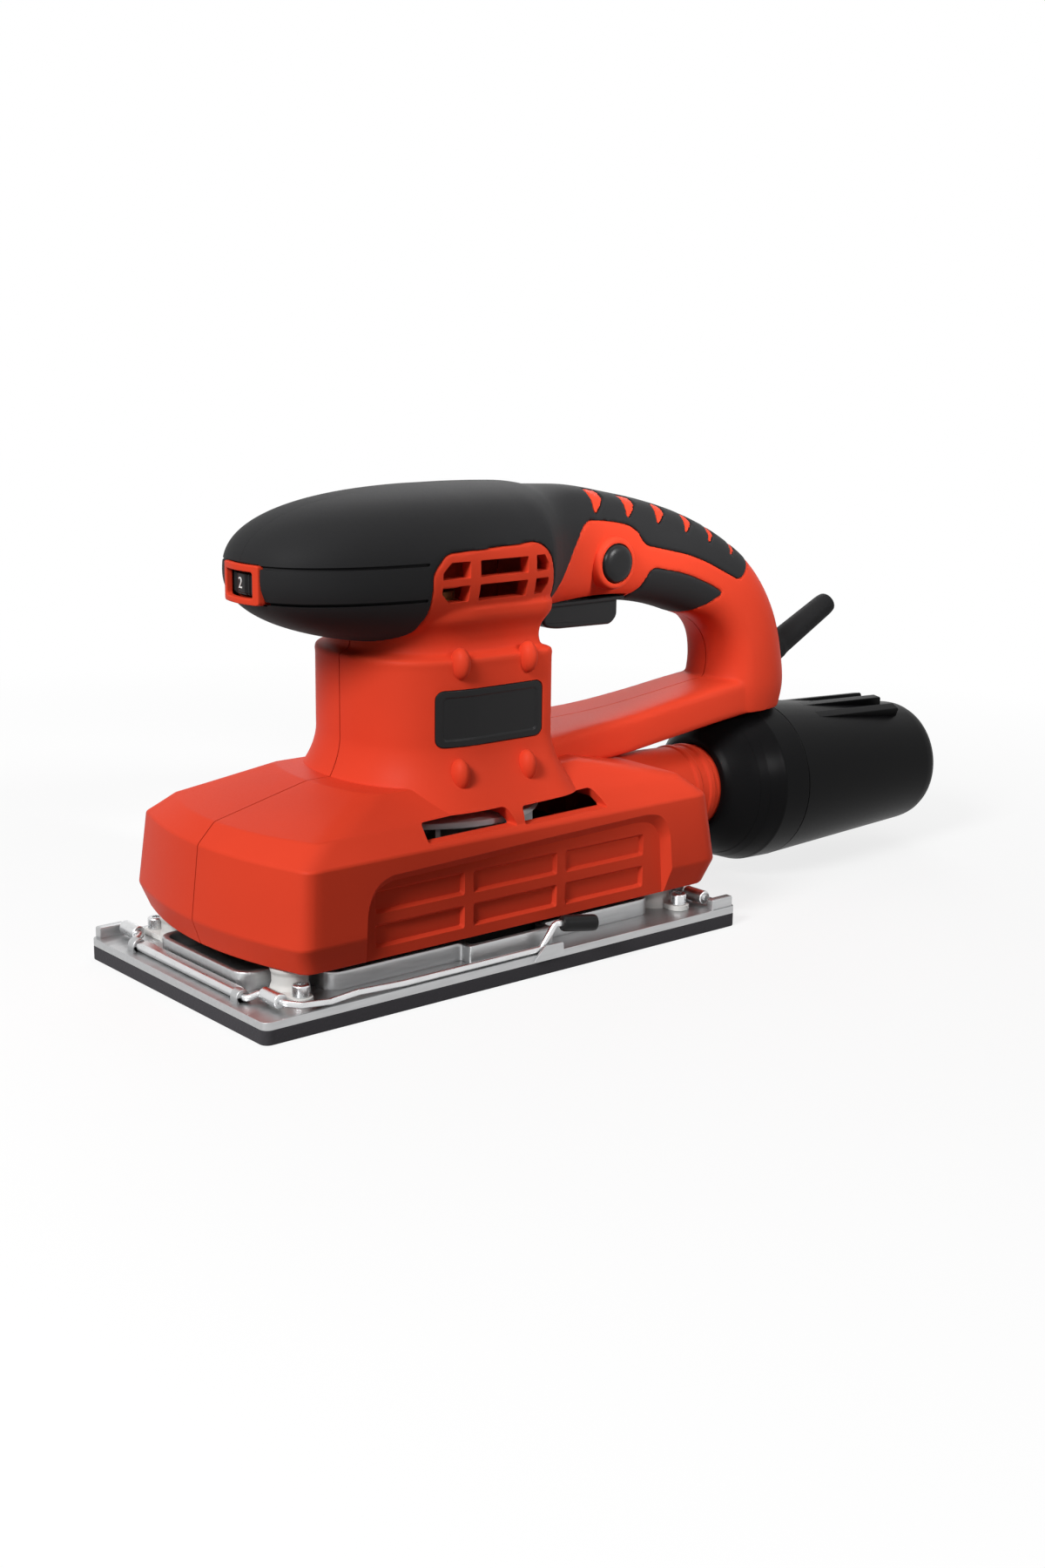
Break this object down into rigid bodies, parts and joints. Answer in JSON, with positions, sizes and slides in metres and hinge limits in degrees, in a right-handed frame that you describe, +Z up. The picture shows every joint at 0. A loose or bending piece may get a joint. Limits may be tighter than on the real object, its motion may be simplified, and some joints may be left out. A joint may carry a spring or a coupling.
{
  "type": "orbital finishing sander",
  "caption": "Half-sheet orbital finishing sander: rectangular pad with wire paper clamps, palm head, D-handle with trigger, and a push-on dust canister at the back.",
  "frame": {"origin": "centre of the sanding pad's underside", "axes": "+X towards the dust canister at the back, +Y to the tool's right side, +Z up"},
  "size_m": [0.3718, 0.1276, 0.1694],
  "materials": {
    "housing_red": "satin moulded",
    "grip_black": "matt soft grip",
    "trim_black": "satin moulded",
    "canister_black": "semi-gloss moulded",
    "pad_rubber": "matt foam rubber",
    "leg_rubber": "light matt rubber",
    "seal_rubber": "matt",
    "aluminium": "cast, lightly brushed",
    "wire_steel": "drawn, zinc plated",
    "screw_steel": "zinc plated",
    "bearing_steel": "ground",
    "motor_steel": "laminated",
    "copper": "enamelled copper wire, packed by weight as brass",
    "brass": "plain",
    "carbon": "carbon, matt",
    "board_green": "circuit board",
    "fan_grey": "light grey moulded",
    "filter_cloth": "felt"
  },
  "bodies": {
    "housing": {"housing_left": "housing_red", "housing_right": "housing_red", "soft_grip_left": "grip_black", "soft_grip_right": "grip_black", "dial_bezel": "housing_red", "badge_plate": "trim_black", "cord_guard": "grip_black", "housing_screws": "screw_steel", "dust_spigot": "housing_red", "fan_shroud": "trim_black", "stator": "motor_steel", "field_coils": "copper", "lower_bearing": "bearing_steel", "upper_bearing": "bearing_steel", "brush_holders": "brass", "carbon_brushes": "carbon", "speed_module": "board_green", "switch_body": "trim_black"},
    "rotor": {"motor_shaft": "bearing_steel", "armature": "motor_steel", "armature_winding": "copper", "commutator": "copper", "fan": "fan_grey", "counterweight": "motor_steel", "eccentric": "motor_steel"},
    "platen": {"platen": "aluminium", "sanding_pad": "pad_rubber", "eccentric_bearing": "bearing_steel", "hub_circlip": "wire_steel", "support_legs": "leg_rubber", "leg_screws": "screw_steel", "dust_seal": "seal_rubber"},
    "front_clamp": {"front_clamp_wire": "wire_steel", "front_clamp_jaw": "wire_steel", "front_lever_sleeve": "trim_black"},
    "rear_clamp": {"rear_clamp_wire": "wire_steel", "rear_clamp_jaw": "wire_steel", "rear_lever_sleeve": "trim_black"},
    "trigger": {"trigger": "trim_black"},
    "lock_button": {"lock_button": "trim_black"},
    "speed_dial": {"speed_dial": "trim_black"},
    "dust_cap": {"dust_cap": "canister_black"},
    "dust_body": {"dust_body": "canister_black", "dust_filter": "filter_cloth"}
  },
  "joints": [
    {"name": "motor_spin", "type": "hinge", "parent": "housing", "child": "rotor", "pos_m": [0, 0, 0.09], "axis": [0, 0, 1], "continuous": true},
    {"name": "platen_orbit", "type": "hinge", "parent": "rotor", "child": "platen", "pos_m": [0.001, 0, 0.015], "axis": [0, 0, 1], "continuous": true},
    {"name": "front_clamp_swing", "type": "hinge", "parent": "platen", "child": "front_clamp", "pos_m": [-0.1013, 0, 0.0098], "axis": [0, -1, 0], "range_deg": [0, 55]},
    {"name": "rear_clamp_swing", "type": "hinge", "parent": "platen", "child": "rear_clamp", "pos_m": [0.1013, 0, 0.0098], "axis": [0, 1, 0], "range_deg": [0, 55]},
    {"name": "trigger_pull", "type": "slide", "parent": "housing", "child": "trigger", "axis": [0, 0, 1], "range_m": [0, 0.005], "stiffness_N_per_m": 600, "springref_m": -0.004},
    {"name": "lock_press", "type": "slide", "parent": "housing", "child": "lock_button", "axis": [0, 1, 0], "range_m": [0, 0.003], "stiffness_N_per_m": 600, "springref_m": -0.003},
    {"name": "dial_turn", "type": "hinge", "parent": "housing", "child": "speed_dial", "pos_m": [-0.0575, 0, 0.14], "axis": [0, 0, 1], "range_deg": [-45, 180]},
    {"name": "dust_cap_pull", "type": "slide", "parent": "housing", "child": "dust_cap", "axis": [0.999, 0, -0.0454], "range_m": [0, 0.03]},
    {"name": "dust_body_pull", "type": "slide", "parent": "dust_cap", "child": "dust_body", "axis": [0.999, 0, -0.0454], "range_m": [0, 0.02]}
  ],
  "couplings": [
    {"joint": "platen_orbit", "follows": "motor_spin", "ratio": -1}
  ]
}
